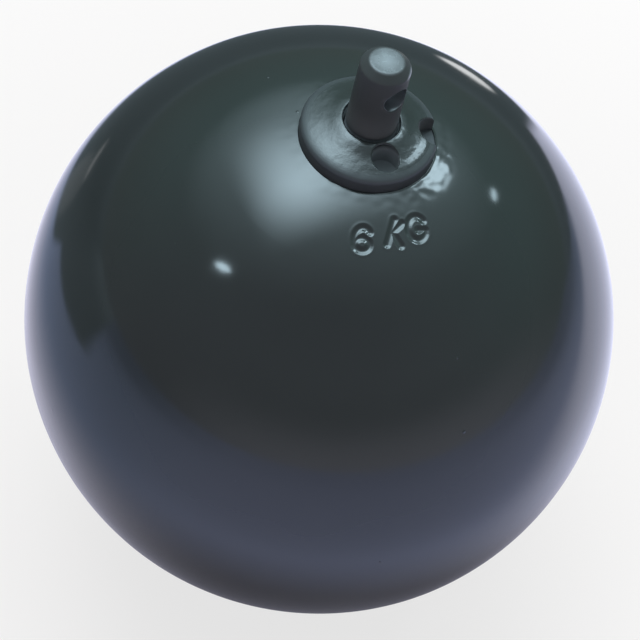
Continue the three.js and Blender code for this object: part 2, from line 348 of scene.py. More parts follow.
class Bench:
    """A node tree that is filled by method calls."""

    def __init__(self, tree: bpy.types.NodeTree) -> None:
        """Empty the tree and start on it."""
        self.tree = tree
        tree.nodes.clear()

    def node(
        self,
        kind: str,
        settings: Mapping[str, object] | None = None,
        values: Mapping[str | int, Value] | None = None,
    ) -> bpy.types.Node:
        """Add a node.

        Args:
            kind: The node's type.
            settings: Properties that are set first, such as a Math node's operation.
            values: What each input socket holds or is linked to, by name or number.

        Returns:
            The node.
        """
        made = self.tree.nodes.new(kind)
        for key, setting in (settings or {}).items():
            setattr(made, key, setting)
        for key, value in (values or {}).items():
            if isinstance(value, Term):
                self.tree.links.new(value.socket, made.inputs[key])
            else:
                made.inputs[key].default_value = value
        return made

    def term(
        self,
        kind: str,
        output: str | int,
        settings: Mapping[str, object] | None = None,
        values: Mapping[str | int, Value] | None = None,
    ) -> Term:
        """Add a node and return one of its outputs as a term."""
        return Term(self, self.node(kind, settings, values).outputs[output])

    def math(self, operation: str, *operands: Value) -> Term:
        """Add a Math node for one operation on one to three numbers."""
        return self.term("ShaderNodeMath", 0, {"operation": operation}, dict(enumerate(operands)))

    def vector(self, operation: str, values: Mapping[str | int, Value], output: str = "Vector") -> Term:
        """Add a Vector Math node."""
        return self.term("ShaderNodeVectorMath", output, {"operation": operation}, values)

    def mix(self, factor: Value, first: Value, second: Value) -> Term:
        """Blend two colours by a factor."""
        colours = {key: (*c, 1.0) if isinstance(c, tuple) else c for key, c in ((6, first), (7, second))}
        return self.term("ShaderNodeMix", 2, {"data_type": "RGBA"}, {0: factor, **colours})

    def ramp(self, value: Value, low: Value, high: Value, start: Value = 0.0, end: Value = 1.0) -> Term:
        """Map a value smoothly from low and high to start and end."""
        values = {0: value, 1: low, 2: high, 3: start, 4: end}
        return self.term("ShaderNodeMapRange", 0, {"interpolation_type": "SMOOTHSTEP"}, values)

    def noise(self, place: Term, size: float, detail: float = 2.0, roughness: float = 0.5) -> Term:
        """Soft noise from 0 to 1, with forms of about a size in millimetres and finer octaves."""
        values = {"Vector": place, "Scale": 1 / size, "Detail": detail, "Roughness": roughness}
        return self.term("ShaderNodeTexNoise", 0, {"normalize": True}, values)

    def specks(self, place: Term, spacing: float, radius: float, share: float) -> Term:
        """Scattered round spots, 1 in the middle of a spot and 0 outside.

        Args:
            place: Where it is read, in millimetres.
            spacing: Size of the cells that hold at most one spot each.
            radius: Radius of a spot.
            share: Share of the cells that have one.

        Returns:
            The spots.
        """
        cells = self.node("ShaderNodeTexVoronoi", {"feature": "F1"}, {"Vector": place, "Scale": 1 / spacing})
        near = self.ramp(Term(self, cells.outputs["Distance"]), 0.0, radius / spacing, 1.0, 0.0)
        lot = self.term("ShaderNodeSeparateColor", 0, values={0: Term(self, cells.outputs["Color"])})
        return near * self.math("LESS_THAN", lot, share)

    def added(self, first: Value, second: Value) -> Term:
        """The sum of two colours."""
        return self.vector("ADD", {0: first, 1: second})

    def scaled(self, colour: Value, factor: Value) -> Term:
        """A colour times a number."""
        return self.vector("SCALE", {0: colour, "Scale": factor})

    def along(self, east: Term, north: Term, azimuth: float) -> Term:
        """Distance along a level direction, given in degrees from east to north."""
        turn = math.radians(azimuth)
        return east * math.cos(turn) + north * math.sin(turn)

    def place_mm(self) -> Term:
        """Object coordinates in millimetres."""
        place = self.term("ShaderNodeTexCoord", "Object")
        return self.scaled(place, 1 / MM)

    def axes(self, place: Term) -> tuple[Term, ...]:
        """How far a place lies to the east, to the north and up."""
        split = self.node("ShaderNodeSeparateXYZ", values={0: place})
        return tuple(Term(self, split.outputs[key]) for key in ("X", "Y", "Z"))

    def span(self, first: Term, second: Term) -> Term:
        """Distance that is made up of two, square to each other."""
        return self.math("SQRT", first * first + second * second)

    def aligned(self, east: Term, north: Term, centre: Point, azimuth: float) -> tuple[Term, Term]:
        """Distances from a centre along an azimuth in degrees, and square to it."""
        aside, ahead = east - centre[0], north - centre[1]
        return self.along(aside, ahead, azimuth), self.along(aside, ahead, azimuth + 90)

    def rays(self) -> tuple[Term, Term]:
        """Whether a ray comes from the camera, and whether it is mirrored or has gone through glass.

        Returns:
            Two terms, each 0 or 1.
        """
        path = self.node("ShaderNodeLightPath")
        camera, glossy, through = (
            Term(self, path.outputs[f"Is {kind} Ray"]) for kind in ("Camera", "Glossy", "Transmission")
        )
        return camera, glossy + through

    def spot(self, place: Term, centre: Vector, radius: float) -> Term:
        """A soft round spot, 1 at its centre and 0 from its radius out."""
        gap = self.vector("DISTANCE", {0: place, 1: centre / MM}, "Value")
        return self.ramp(gap, 0.0, radius, 1.0, 0.0)

    def bump(self, height: Term) -> Term:
        """Normal of a surface raised by a height in millimetres."""
        values = {"Height": height, "Distance": MM, "Strength": 1.0}
        return self.term("ShaderNodeBump", "Normal", values=values)


@dataclass(frozen=True)
class Finish:
    """A material whose colour, roughness and relief vary over the surface.

    Attributes:
        name: Name of the material.
        colour: Main colour, linear.
        roughness: Roughness of the clean surface.
    """

    name: str
    colour: Colour
    roughness: float

    def material(self) -> bpy.types.Material:
        """Make the material, once for each finish.

        Returns:
            The material.
        """
        title = f"finish_{self.name}"
        known = bpy.data.materials.get(title)
        if known:
            return known
        made = bpy.data.materials.new(title)
        made.use_nodes = True
        bench = Bench(made.node_tree)
        surface = bench.term("ShaderNodeBsdfPrincipled", 0, values=self.sockets(bench))
        bench.node("ShaderNodeOutputMaterial", values={"Surface": surface})
        return made

    def sockets(self, bench: Bench) -> dict[str, Value]:
        """What each socket of the surface shader holds, by its name."""
        raise NotImplementedError

    def dress(self, piece: Piece) -> None:
        """Give a piece this finish alone.

        Args:
            piece: The piece.
        """
        if piece.data.materials:
            piece.data.materials.clear()
        piece.data.materials.append(self.material())


@dataclass(frozen=True)
class Hollow:
    """An upright hole in whose depth the paint lies thick, matt and dusty, and paler, which also paints light
    into its shade.

    Attributes:
        azimuth: Where it stands round the spindle, in degrees.
        reach: Distance of its middle from the spindle's axis.
        radius: Radius of the hole.
        fill: Share of its walls that the pale dust covers, which also paints light into their shade.
    """

    azimuth: float
    reach: float
    radius: float
    fill: float


@dataclass(frozen=True)
class GlossPaint(Finish):
    """Thick gloss enamel over a casting, with orange peel, slow waves, nibs and faint smears.

    Attributes:
        shade: Second colour, in slow patches.
        peel: Height of the orange peel.
        wave: Height of the slow waves.
        nibs: Polar angle, azimuth and radius of single specks under the paint.
        hollows: Holes with matt, dusty paint, made paler as painted fill light.
        dust_and_fill_light: Colour of the dust in the hollows, pale enough to also paint light into their
            shade.
        mouth_height: The dust and its painted fill light start under this height over the ball's centre.
        film_and_fill_light: Colour of the dull film on the side of the flange, pale enough to also paint
            light into the side's shade.
        film_height: The film and its painted light end at this height over the ball's centre, if there is
            one.
        nib_rise: Height of the specks.
        mottle: Height of the dabs of a brush.
        ior: Index of refraction.
        fleck: Colour of the small flecks all over.
    """

    shade: Colour
    peel: float = 0.0008
    wave: float = 0.005
    nibs: tuple[tuple[float, float, float], ...] = ()
    hollows: tuple[Hollow, ...] = ()
    dust_and_fill_light: Colour = (0.5, 0.5, 0.5)
    mouth_height: float = 61.3
    film_and_fill_light: Colour = (0.06, 0.062, 0.065)
    film_height: float | None = None
    nib_rise: float = 0.09
    mottle: float = 0.0
    ior: float = 1.6
    fleck: Colour = (0.12, 0.125, 0.12)

    def sockets(self, bench: Bench) -> dict[str, Value]:
        """Colour in slow patches, smears in the gloss, and relief from fine to broad.

        Args:
            bench: The bench of the material's own tree.

        Returns:
            Values and terms by socket name.
        """
        place = bench.place_mm()
        patches = bench.ramp(bench.noise(place, 26.0, 3.0), 0.3, 0.7)
        smears = bench.ramp(bench.noise(place, 9.0, 5.0, 0.6), 0.45, 0.8)
        height = bench.noise(place, 0.9, 2.0) * self.peel + bench.noise(place, 7.0, 2.0) * self.wave
        if self.mottle:
            height = height + bench.noise(place, 2.4, 3.0, 0.55) * self.mottle
        specks = bench.specks(place, 3.4, 0.13, 0.12)
        colour = bench.mix(specks * 0.3, bench.mix(patches, self.colour, self.shade), self.fleck)
        roughness = self.roughness + smears * 0.05 + specks * 0.2
        for polar, azimuth, radius in self.nibs:
            tilt = math.radians(polar)
            reach = DATUM.ball_radius * math.sin(tilt)
            middle = DATUM.place(reach, DATUM.ball_radius * math.cos(tilt), azimuth)
            height = height + bench.spot(place, middle, radius) * self.nib_rise
        # A paler, matt film on the side of the flange: partly a real dull film, partly painted light that
        # lifts the side's shade.
        if self.film_height is not None:
            level = bench.axes(place)[2]
            top = DATUM.place(0.0, self.film_height).z / MM
            dull_film_and_fill = bench.ramp(level, top - 0.6, top + 0.2, 1.0, 0.0)
            colour = bench.mix(dull_film_and_fill * 0.8, colour, self.film_and_fill_light)
            roughness = roughness + dull_film_and_fill * 0.3
        # Pale dust in the hollows: partly real dust, partly painted light that lifts their shade.
        if self.hollows:
            deep = self.depth_mask(bench, place)
            colour = bench.mix(deep, colour, self.dust_and_fill_light)
            roughness = roughness + bench.math("MINIMUM", deep * 25, 1.0) * 0.5
        return {
            "Base Color": colour,
            "Roughness": roughness,
            "IOR": self.ior,
            "Normal": bench.bump(height),
        }

    def depth_mask(self, bench: Bench, place: Term) -> Term:
        """Where the surface lies inside one of the hollows.

        Args:
            bench: The bench of the material's own tree.
            place: Object coordinates in millimetres.

        Returns:
            From 0 outside to 1 in a hollow that is filled.
        """
        east, north, level = bench.axes(place)
        mouth = DATUM.place(0.0, self.mouth_height).z / MM
        inside = []
        for hollow in self.hollows:
            middle = DATUM.place(hollow.reach, 0.0, hollow.azimuth) / MM
            away = bench.math("POWER", east - middle.x, 2.0) + bench.math("POWER", north - middle.y, 2.0)
            inside.append(bench.math("LESS_THAN", away, (hollow.radius + WALL_ROOM) ** 2) * hollow.fill)
        total = inside[0]
        for mask in inside[1:]:
            total = bench.math("MAXIMUM", total, mask)
        return total * bench.ramp(level, mouth - 1.2, mouth, 1.0, 0.0)


@dataclass(frozen=True)
class BlackedSteel(Finish):
    """Blackened steel under a thin coat of the same paint, worn at its end and where the wire bears, with a
    painted highlight on the end and a painted glint at one side.

    Attributes:
        bare: Colour of the metal where the coat has worn through, also used for the painted highlight on the
            end.
        polished: Colour of the metal where the wire and handling keep it bright.
        dust_and_fill_light: Colour of the dust inside the eye and down in the plug, pale enough to also paint
            light into the shade there.
        eye_radius: Radius of the eye.
        eye_azimuth: Direction of the eye, in degrees.
        end_rise: Height of the end over the eye.
        mouth_rise: Height of the plug's mouth over the eye.
        painted_glint_rise: Height of the painted glint, bright bare metal on one side of the end only.
        painted_glint_azimuth: Its direction, in degrees.
        ior: Index of refraction of the coat.
    """

    bare: Colour
    polished: Colour
    dust_and_fill_light: Colour
    eye_radius: float
    eye_azimuth: float
    end_rise: float
    mouth_rise: float
    painted_glint_rise: float = 4.65
    painted_glint_azimuth: float = 0.0
    ior: float = 1.4

    def sockets(self, bench: Bench) -> dict[str, Value]:
        """Turning marks, scuffs round the eye, a worn end with a painted highlight, a painted glint on one
        side, and dust where no hand reaches, pale enough to paint light into the shade by the plug.

        Args:
            bench: The bench of the material's own tree.

        Returns:
            Values and terms by socket name.
        """
        place = bench.place_mm()
        east, north, level = bench.axes(place)
        marks = bench.noise(bench.vector("MULTIPLY", {0: place, 1: (0.12, 0.12, 6.0)}), 1.0, 3.0)
        blotch = bench.noise(place, 1.4, 4.0, 0.6)
        turn = math.radians(self.eye_azimuth)
        sideways = bench.vector("DOT_PRODUCT", {0: place, 1: (-math.sin(turn), math.cos(turn), 0.0)}, "Value")
        off_axis = bench.span(level, sideways)
        rim = bench.ramp(abs(off_axis - (self.eye_radius + 0.35)), 0.0, 0.5, 1.0, 0.0)
        end = bench.ramp(level, self.end_rise - 0.3, self.end_rise - 0.03)
        eye = bench.ramp(off_axis, self.eye_radius, self.eye_radius + 0.06, 1.0, 0.0)
        # Pale dust from the plug's mouth up the spindle: partly dust, partly painted light that lifts the
        # shade down by the plug.
        foot = bench.ramp(level, self.mouth_rise - 1.0, self.mouth_rise + 0.1, 1.0, 0.0)
        faint = bench.ramp(level, self.mouth_rise, self.mouth_rise + 7.0, 0.12, 0.0)
        dust_and_fill_mask = bench.math("MAXIMUM", foot, faint)
        # Painted glint: bright bare metal on one side of the end's shoulder only, where a highlight falls.
        flank = bench.ramp(bench.along(east, north, self.painted_glint_azimuth), 3.9, 4.3)
        glint = bench.ramp(abs(level - self.painted_glint_rise), 0.5, 0.9, 1.0, 0.0) * flank
        # Painted highlight: more bare metal in the middle of the end than at its edge, so that the end shows
        # a soft bright disc.
        centre = bench.ramp(bench.span(east, north), 0.3, 2.7, 0.42, 0.1)
        wear_and_end_highlight = bench.ramp(rim * 0.3 + blotch * 0.8, 0.55, 1.0) * 0.15 + end * (centre + blotch * 0.4)
        bright = bench.math("MAXIMUM", eye, glint)
        coat = bench.mix(dust_and_fill_mask, self.colour, self.dust_and_fill_light)
        return {
            "Base Color": bench.mix(bright, bench.mix(wear_and_end_highlight, coat, self.bare), self.polished),
            "Metallic": bench.math("MAXIMUM", wear_and_end_highlight * 0.5, bright),
            "Roughness": self.roughness + blotch * 0.1 + foot * 0.3 - end * 0.16,
            "IOR": self.ior,
            "Normal": bench.bump(marks * 0.0015 + blotch * 0.003),
        }


@dataclass(frozen=True)
class TurnedMetal(Finish):
    """Bare metal turned or ground on a lathe, with fine rings, stains and an oil film.

    Attributes:
        stain: Darker colour of the stains.
        ring_height: Height of the turning rings.
        ring_width: Pitch of the turning rings.
    """

    stain: Colour
    ring_height: float = 0.0012
    ring_width: float = 0.12

    def sockets(self, bench: Bench) -> dict[str, Value]:
        """Rings about the axis, cloudy stains and uneven polish.

        Args:
            bench: The bench of the material's own tree.

        Returns:
            Values and terms by socket name.
        """
        place = bench.place_mm()
        east, north, level = bench.axes(place)
        radius = bench.span(east, north)
        rings = bench.math("SINE", (radius + level) * (math.tau / self.ring_width))
        cloud = bench.ramp(bench.noise(place, 2.6, 5.0, 0.62), 0.42, 0.72)
        scratch = bench.noise(bench.vector("MULTIPLY", {0: place, 1: (1.0, 1.0, 14.0)}), 2.0, 2.0)
        return {
            "Base Color": bench.mix(cloud * 0.7, self.colour, self.stain),
            "Metallic": 1.0,
            "Roughness": self.roughness + cloud * 0.14 + scratch * 0.05,
            "Normal": bench.bump(rings * self.ring_height + scratch * 0.001),
        }


@dataclass(frozen=True)
class SealRubber(Finish):
    """Black nitrile rubber, matt with a little bloom and grease.

    Attributes:
        bloom: Colour of the bloom.
    """

    bloom: Colour

    def sockets(self, bench: Bench) -> dict[str, Value]:
        """Pale bloom in patches and a fine grain.

        Args:
            bench: The bench of the material's own tree.

        Returns:
            Values and terms by socket name.
        """
        place = bench.place_mm()
        bloom = bench.ramp(bench.noise(place, 1.8, 4.0), 0.5, 0.8)
        grain = bench.noise(place, 0.14, 2.0)
        return {
            "Base Color": bench.mix(bloom * 0.5, self.colour, self.bloom),
            "Roughness": self.roughness + bloom * 0.1 + grain * 0.08,
            "Normal": bench.bump(grain * 0.006),
        }


@dataclass(frozen=True)
class Punch:
    """One character struck into the ball with a hand punch.

    Attributes:
        azimuth: Where it stands round the spindle, in degrees.
        reach: Distance of its middle from the spindle's axis.
        lean: Turn to the right from upright, in degrees.
        strokes: Wires of points across and up from its middle.
    """

    azimuth: float
    reach: float
    lean: float
    strokes: list[Outline]

    def middle(self) -> Vector:
        """Direction from the centre of the ball to the middle of the character.

        Returns:
            It has a length of 1.
        """
        height = math.sqrt(DATUM.ball_radius**2 - self.reach**2)
        turn = math.radians(self.azimuth)
        return Vector((self.reach * math.cos(turn), self.reach * math.sin(turn), height)).normalized()

    def distance(self, points: np.ndarray) -> np.ndarray:
        """Distance of points on the ball from the nearest stroke.

        Args:
            points: Points in millimetres from the centre of the ball.

        Returns:
            One distance for each point.
        """
        middle = self.middle()
        across = Vector((0, 0, 1)).cross(middle).normalized()
        upward = middle.cross(across)
        tilt = math.radians(self.lean)
        right = across * math.cos(tilt) - upward * math.sin(tilt)
        up = across * math.sin(tilt) + upward * math.cos(tilt)
        flat = np.stack([points @ np.array(right), points @ np.array(up)], axis=1)
        flat[points @ np.array(middle) < 0] = DATUM.ball_radius
        nearest = np.full(len(points), DATUM.ball_radius)
        for stroke in self.strokes:
            for start, end in pairwise(np.array(stroke)):
                leg = end - start
                share = np.clip((flat - start) @ leg / (leg @ leg), 0, 1)
                gap = np.linalg.norm(flat - start - share[:, None] * leg, axis=1)
                nearest = np.minimum(nearest, gap)
        return nearest


@dataclass(frozen=True)
class MassStamp:
    """The mass in kilograms, struck beside the plug before the ball was painted.

    Attributes:
        depth: Depth of the strokes.
        half_width: From the middle of a stroke to its edge.
        burr: Height of the raised metal along that edge.
        burr_width: How far this reaches to each side of the edge.
        reaches: The characters lie between these distances from the axis.
        azimuths: They lie between these directions, in degrees.
    """

    depth: float = 0.22
    half_width: float = 0.88
    burr: float = 0.018
    burr_width: float = 0.6
    reaches: Point = (15.4, 24.2)
    azimuths: Point = (-91.0, -40.0)

    def punches(self) -> list[Punch]:
        """The three characters, each struck a little out of line.

        Returns:
            The characters, from left to right.
        """
        six = [
            arc((0.12, 0.0), 1.38, 2.02, 42, 205, 16),
            arc((0.13, -0.92), 1.26, 1.14, 0, 360, 24),
        ]
        kay = [
            line((-0.6, 2.2), (-0.6, -2.4), 1),
            line((-0.5, -0.3), (0.85, 2.05), 1),
            line((-0.35, -0.1), (1.75, -1.85), 1),
        ]
        gee = [
            arc((0.0, 0.0), 1.6, 2.1, 42, 335, 26) + [(1.5, -0.3), (0.25, -0.3)],
        ]
        return [
            Punch(-79.9, 20.17, 3.0, six),
            Punch(-63.4, 19.1, 27.0, kay),
            Punch(-50.9, 19.2, 19.0, gee),
        ]

    def relief(self, points: np.ndarray) -> np.ndarray:
        """Height of the struck surface over the plain ball.

        Args:
            points: Points in millimetres from the centre of the ball.

        Returns:
            Heights, below zero in the grooves.
        """
        gap = np.minimum.reduce([punch.distance(points) for punch in self.punches()])
        groove = 1 - smooth_step(gap, 0.0, self.half_width)
        crest = np.clip(1 - np.abs(gap - self.half_width) / self.burr_width, 0, 1)
        return self.burr * crest * crest - self.depth * groove


@dataclass(frozen=True)
class CastBall:
    """The cast iron ball, with its spot face, its stepped bore and the struck mass.

    Attributes:
        seat_radius: Radius of the spot face.
        seat_height: Height of the spot face.
        edge: Rounding between the spot face and the ball.
        bore_radius: Radius of the threaded bore.
        drilled_radius: Radius of the drilled bore under it.
        bore_runout: How far the threaded bore runs on below the plug.
        bore_end_room: Room below the spindle's inner end.
        fine_reach: The mesh is finer within this distance from the axis.
        collar_reach: Its faces are cut once more within this distance.
        collar_drop: They are cut no further than this below the spot face.
        bead_reach: Width of the paint that has run up against the flange.
        broad_steps: Steps in the plain part of the outline.
        fine_steps: Steps in its finer part.
        bead_steps: Steps in its part beside the flange.
        edge_steps: Steps in the rounding of the edge.
        stamp_cuts: Cuts across each face under the characters.
        stamp: The struck characters.
        wave: Height of the slow waves of the casting.
        wave_size: Rough size of these.
        wave_start: They rise from nothing at the flange to full height over this distance.
        pucker: Height of the wrinkles beside the flange.
        pucker_size: Rough size of the wrinkles.
        pucker_reach: How far they go out from the flange.
        pucker_azimuth: Where they are strongest, in degrees.
        pucker_spread: How far they run to each side, in degrees.
        pucker_rest: Their share on the other sides.
        bead: Height of the paint that has run up against the flange.
        bead_change: Share by which this height changes from place to place.
    """

    seat_radius: float = 12.03
    seat_height: float = SEAT_HEIGHT
    edge: float = 0.1
    bore_radius: float = 11.0
    drilled_radius: float = 10.1
    bore_runout: float = 0.8
    bore_end_room: float = 2.1
    fine_reach: float = 25.5
    collar_reach: float = 17.0
    collar_drop: float = 3.0
    bead_reach: float = 0.45
    broad_steps: int = 84
    fine_steps: int = 32
    bead_steps: int = 9
    edge_steps: int = 4
    stamp_cuts: int = 4
    stamp: MassStamp = MassStamp()
    wave: float = 0.03
    wave_size: float = 19.0
    wave_start: float = 3.0
    pucker: float = 0.066
    pucker_size: float = 1.6
    pucker_reach: float = 5.0
    pucker_azimuth: float = -15.0
    pucker_spread: float = 62.0
    pucker_rest: float = 0.3
    bead: float = 0.05
    bead_change: float = 0.5

    def outline(self) -> Outline:
        """The outside from the lowest point up to the spot face, then down the bore to its end.

        Returns:
            Radius and height of each point.
        """
        radius = DATUM.ball_radius
        shoulder = self.seat_radius + self.edge
        reaches = (self.fine_reach, shoulder + self.bead_reach, shoulder)
        fine, foot, rim = (math.degrees(math.acos(reach / radius)) for reach in reaches)
        rim_height = math.sqrt(radius**2 - shoulder**2)
        step = DATUM.low("swivel_plug") - self.bore_runout
        end = DATUM.low("spindle") - self.bore_end_room
        return [
            *arc((0, 0), radius, radius, -90, fine, self.broad_steps),
            *arc((0, 0), radius, radius, fine, foot, self.fine_steps)[1:],
            *arc((0, 0), radius, radius, foot, rim, self.bead_steps)[1:],
            *arc((shoulder, rim_height - self.edge), self.edge, self.edge, 90, 180, self.edge_steps)[1:],
            (self.seat_radius, self.seat_height),
            (self.bore_radius, self.seat_height),
            (self.bore_radius, step),
            (self.drilled_radius, step),
            (self.drilled_radius, end),
            (0.0, end - drill_point(self.drilled_radius)),
        ]

    def in_stamp(self, centre: Vector) -> bool:
        """Whether a face lies where the characters are struck.

        Args:
            centre: Centre of the face, in metres.

        Returns:
            True where the mesh has to be finer for them.
        """
        point = Vector((centre.x, centre.y, centre.z - DATUM.centre)) / MM
        reach = math.hypot(point.x, point.y)
        azimuth = math.degrees(math.atan2(point.y, point.x))
        near, far = self.stamp.reaches
        first, last = self.stamp.azimuths
        return point.z > 0 and near < reach < far and first < azimuth < last

    def by_collar(self, centre: Vector) -> bool:
        """Whether a face lies on the ball close round the flange, outside the stamp.

        Args:
            centre: Centre of the face, in metres.

        Returns:
            True where the mesh has to be finer for the wrinkles.
        """
        reach = math.hypot(centre.x, centre.y) / MM
        outer = DATUM.height(centre.z) > self.seat_height - self.collar_drop and reach > self.seat_radius
        return outer and reach < self.collar_reach and not self.in_stamp(centre)

    def relief(self, points: np.ndarray) -> np.ndarray:
        """Height of the painted surface over a true ball.

        Args:
            points: Points in millimetres from the centre of the ball.

        Returns:
            One height for each point.
        """
        reach = np.hypot(points[:, 0], points[:, 1])
        azimuth = np.degrees(np.arctan2(points[:, 1], points[:, 0]))
        top = points[:, 2] > 0
        out = np.where(top, reach - self.seat_radius - self.edge, DATUM.ball_radius)
        side = np.abs((azimuth - self.pucker_azimuth + 180) % 360 - 180)
        strong = 1 - smooth_step(side, self.pucker_spread * 0.4, self.pucker_spread)
        sector = self.pucker_rest + (1 - self.pucker_rest) * strong
        near = 1 - smooth_step(out, 0.0, self.pucker_reach)
        foot = np.clip(1 - out / self.bead_reach, 0, 1) ** 2
        slow = np.array([noise.noise(Vector(p) / self.wave_size) for p in points]) - 1
        quick = np.array([noise.noise(Vector(p) / self.pucker_size) for p in points])
        return (
            self.wave * slow * smooth_step(out, 0.0, self.wave_start)
            + self.pucker * quick * near * sector
            + self.bead * foot * sector * (1 + self.bead_change * quick)
            + self.stamp.relief(points)
        )

    def shape(self, ball: Piece) -> None:
        """Move the outer skin out or in by its relief.

        Args:
            ball: The turned ball.
        """
        mesh = ball.data
        points = np.empty(len(mesh.vertices) * 3)
        mesh.vertices.foreach_get("co", points)
        points = points.reshape(-1, 3)
        centre = np.array([0, 0, DATUM.centre])
        rays = (points - centre) / MM
        depth = np.linalg.norm(rays, axis=1)
        skin = np.abs(depth - DATUM.ball_radius) < SKIN_DEPTH
        rays = rays[skin] / depth[skin][:, None] * DATUM.ball_radius
        points[skin] = centre + rays * (1 + self.relief(rays)[:, None] / DATUM.ball_radius) * MM
        mesh.vertices.foreach_set("co", points.ravel())
        mesh.update()

    def build(self, paint: Finish) -> Piece:
        """Model the ball, dress it and hang it on its body.

        Args:
            paint: The finish of the outside.

        Returns:
            The piece.
        """
        ball = turned("iron_ball", self.outline(), Step.BALL)
        select_faces(ball, self.in_stamp)
        bpy.ops.mesh.subdivide(number_cuts=self.stamp_cuts)
        select_faces(ball, self.by_collar)
        bpy.ops.mesh.subdivide(number_cuts=1)
        clear_selection()
        self.shape(ball)
        smooth(ball)
        paint.dress(ball)
        return hang(ball, "head", "head_paint", "head_ball")


def hang(piece: Piece, body: str, slot: str, *nodes: str) -> Piece:
    """Let a piece ride on a body and let it stand for CAD nodes.

    Args:
        piece: The finished piece.
        body: The body that carries it.
        slot: The record's slot for its finish; not used.
        nodes: The CAD nodes that it replaces.

    Returns:
        The same piece.
    """
    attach(piece, body)
    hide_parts(*nodes)
    faces = len(piece.data.polygons)
    log.info("%s: %d faces, rides on %s, stands for %s", piece.name, faces, body, ", ".join(nodes))
    return piece


